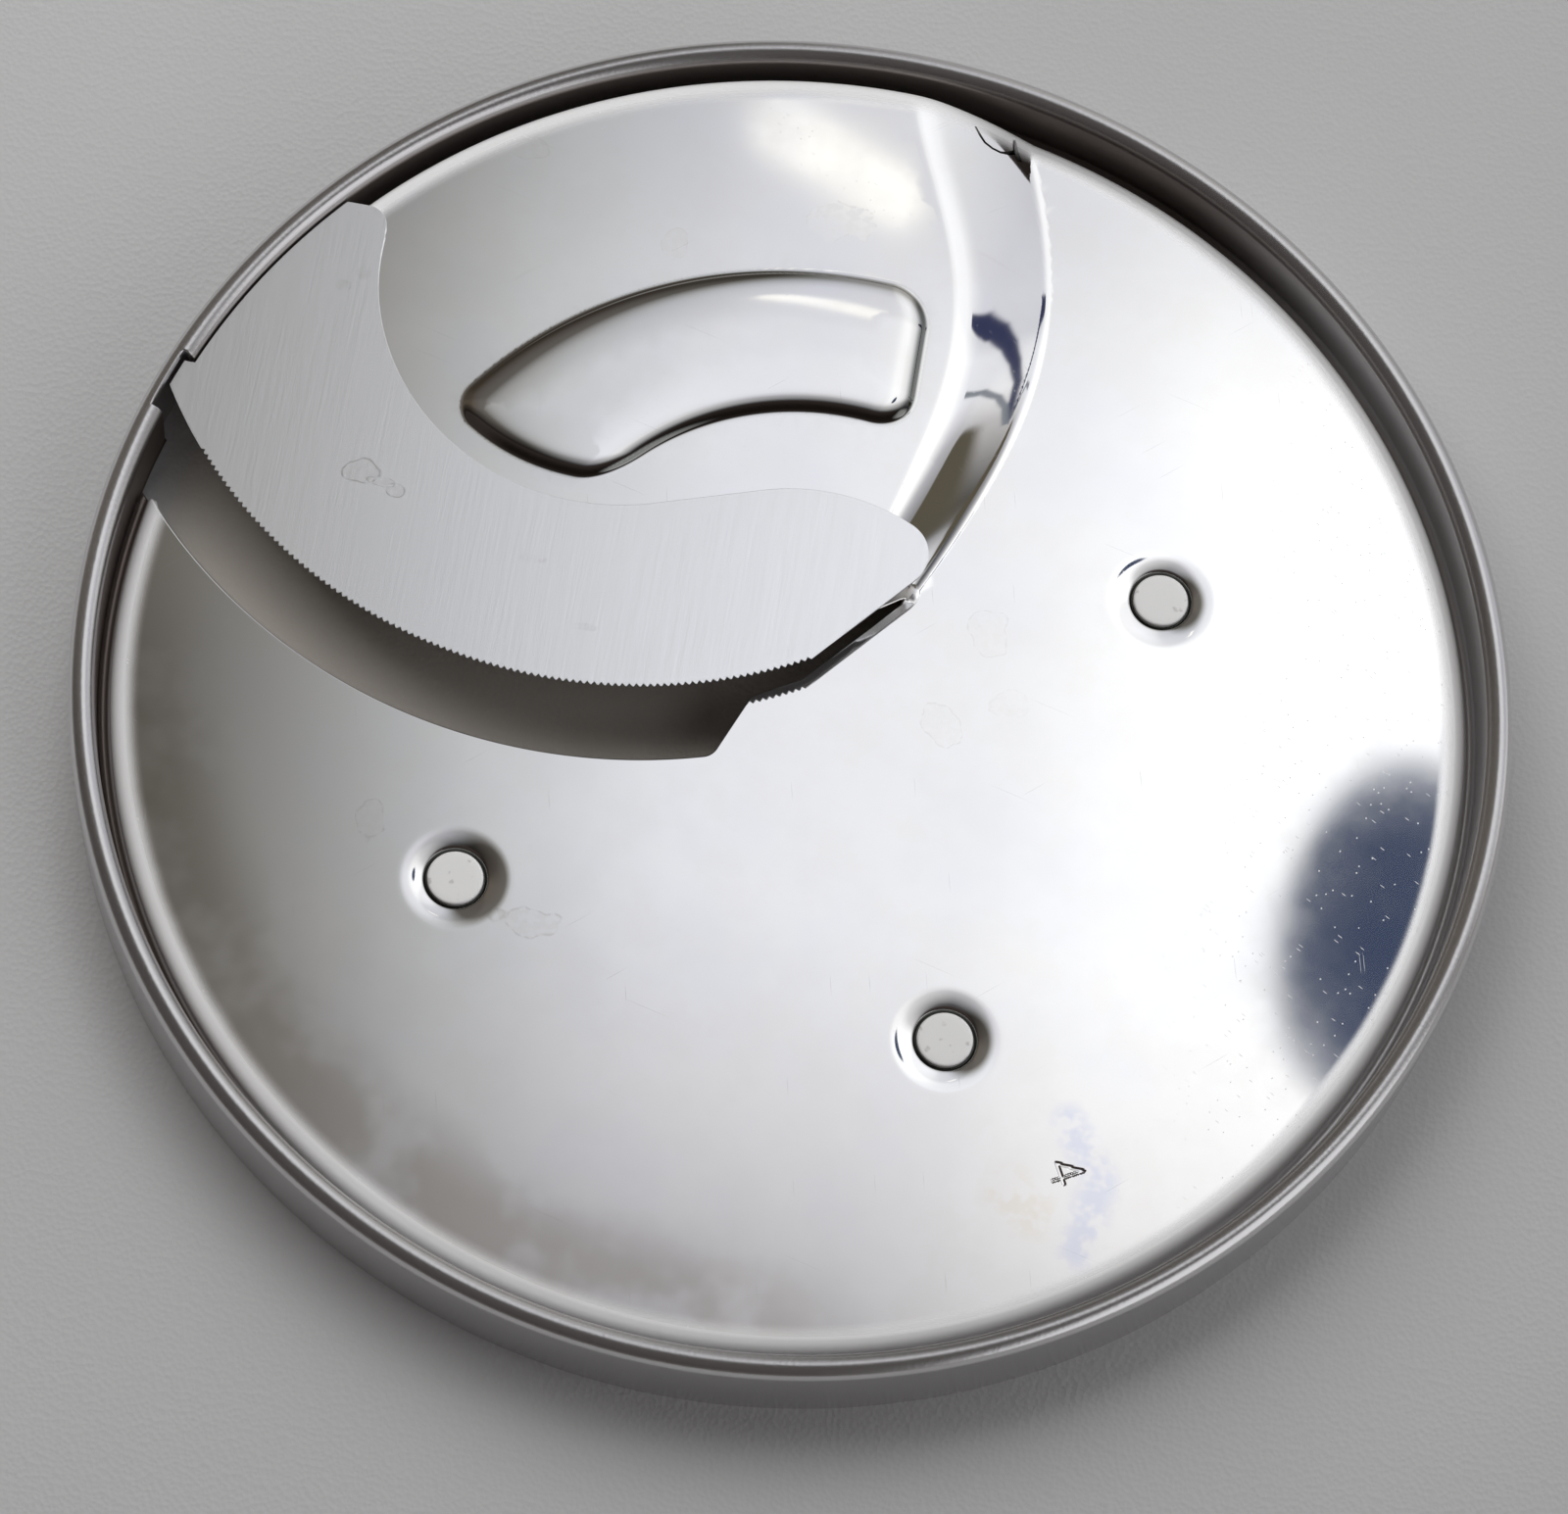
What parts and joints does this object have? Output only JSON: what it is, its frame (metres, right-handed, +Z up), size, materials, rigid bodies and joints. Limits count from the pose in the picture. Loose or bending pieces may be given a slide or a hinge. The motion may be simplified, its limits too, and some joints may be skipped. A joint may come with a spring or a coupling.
{
  "type": "slicing disc",
  "caption": "Round pressed sheet slicing disc for a food processor, with a curved serrated blade on a raised deck and riveted pins under a dished plate.",
  "frame": {"origin": "on the disc's own axis, at the height of the rim's lower edge that it rests on", "axes": "+Z up along the disc's axis, food side up; +X to the right of the picture; +Y away from the camera"},
  "size_m": [0.168, 0.168, 0.013],
  "materials": {
    "pressed_sheet": "polished, lightly worn",
    "blade_steel": "fine satin",
    "pin_steel": "matt"
  },
  "bodies": {
    "root": {"disc_plate": "pressed_sheet", "blade": "blade_steel", "locking_pin_1": "pin_steel", "locking_pin_2": "pin_steel", "locking_pin_3": "pin_steel"}
  },
  "joints": []
}
